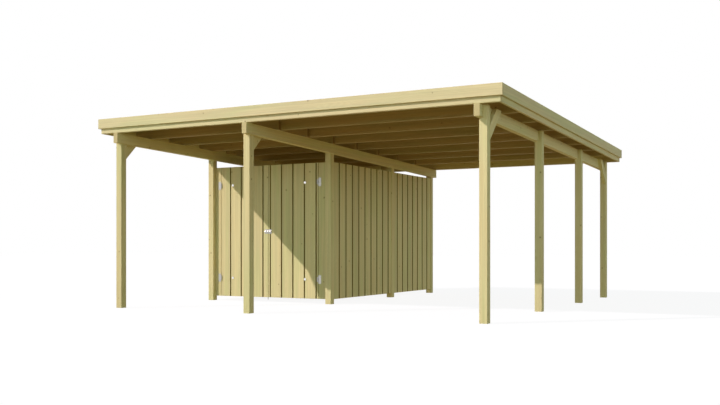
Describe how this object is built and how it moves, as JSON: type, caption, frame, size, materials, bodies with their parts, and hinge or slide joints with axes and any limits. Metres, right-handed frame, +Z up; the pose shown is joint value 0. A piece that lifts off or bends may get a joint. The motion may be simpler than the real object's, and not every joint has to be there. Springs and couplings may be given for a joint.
{
  "type": "double carport with boarded store",
  "caption": "Flat-roofed timber carport for two cars side by side, with a boarded store behind double doors under the rear left bay.",
  "frame": {"origin": "on the level ground under the middle of the roof", "axes": "+X to the right seen from the drive-in side, +Y from the drive-in side to the back, +Z up"},
  "size_m": [5.47, 5.65, 2.4419],
  "materials": {
    "post_pine": "planed pressure-treated pine with a pale green-yellow cast",
    "fascia_pine": "planed pressure-treated pine boards",
    "roof_pine": "sawn pressure-treated pine, unseen from above",
    "board_pine": "upright planed pine boards with rebated joints",
    "rail_pine": "sawn pine",
    "zinc_steel": "galvanised steel",
    "roof_felt": "mineral-surfaced roofing felt"
  },
  "bodies": {
    "carport": {"beam_left": "post_pine", "beam_middle": "post_pine", "beam_right": "post_pine", "door_jamb_left": "board_pine", "door_jamb_right": "board_pine", "door_studs": "rail_pine", "fascia_front": "fascia_pine", "fascia_left": "fascia_pine", "fascia_rear": "fascia_pine", "fascia_right": "fascia_pine", "jamb_hinge_plates": "zinc_steel", "knee_brace_front_left": "post_pine", "knee_brace_front_middle": "post_pine", "knee_brace_front_right": "post_pine", "knee_brace_rear_right": "post_pine", "post_back_wall": "post_pine", "post_front_left": "post_pine", "post_front_middle": "post_pine", "post_front_right": "post_pine", "post_rear_left": "post_pine", "post_rear_middle": "post_pine", "post_rear_right": "post_pine", "post_second_left": "post_pine", "post_second_middle": "post_pine", "post_second_right": "post_pine", "post_third_left": "post_pine", "post_third_middle": "post_pine", "post_third_right": "post_pine", "rafters_left_bay": "roof_pine", "rafters_right_bay": "roof_pine", "rim_front": "fascia_pine", "rim_left": "fascia_pine", "rim_rear": "fascia_pine", "rim_right": "fascia_pine", "roof_boarding": "roof_pine", "roof_felt": "roof_felt", "wall_back_left": "board_pine", "wall_back_right": "board_pine", "wall_left_front": "board_pine", "wall_left_rear": "board_pine", "wall_rails": "rail_pine", "wall_right_front": "board_pine", "wall_right_rear": "board_pine"},
    "door_left": {"door_left_boards": "board_pine", "door_left_hinges_and_latch": "zinc_steel", "door_left_ledges": "rail_pine", "drop_bolt": "zinc_steel"},
    "door_right": {"door_right_boards": "board_pine", "door_right_hinges_and_latch": "zinc_steel", "door_right_ledges": "rail_pine"}
  },
  "joints": [
    {"name": "door_left_swing", "type": "hinge", "parent": "carport", "child": "door_left", "pos_m": [-2.335, -0.746, 0], "axis": [0, 0, -1], "range_deg": [0, 105]},
    {"name": "door_right_swing", "type": "hinge", "parent": "carport", "child": "door_right", "pos_m": [-0.673, -0.746, 0], "axis": [0, 0, 1], "range_deg": [0, 105]}
  ]
}
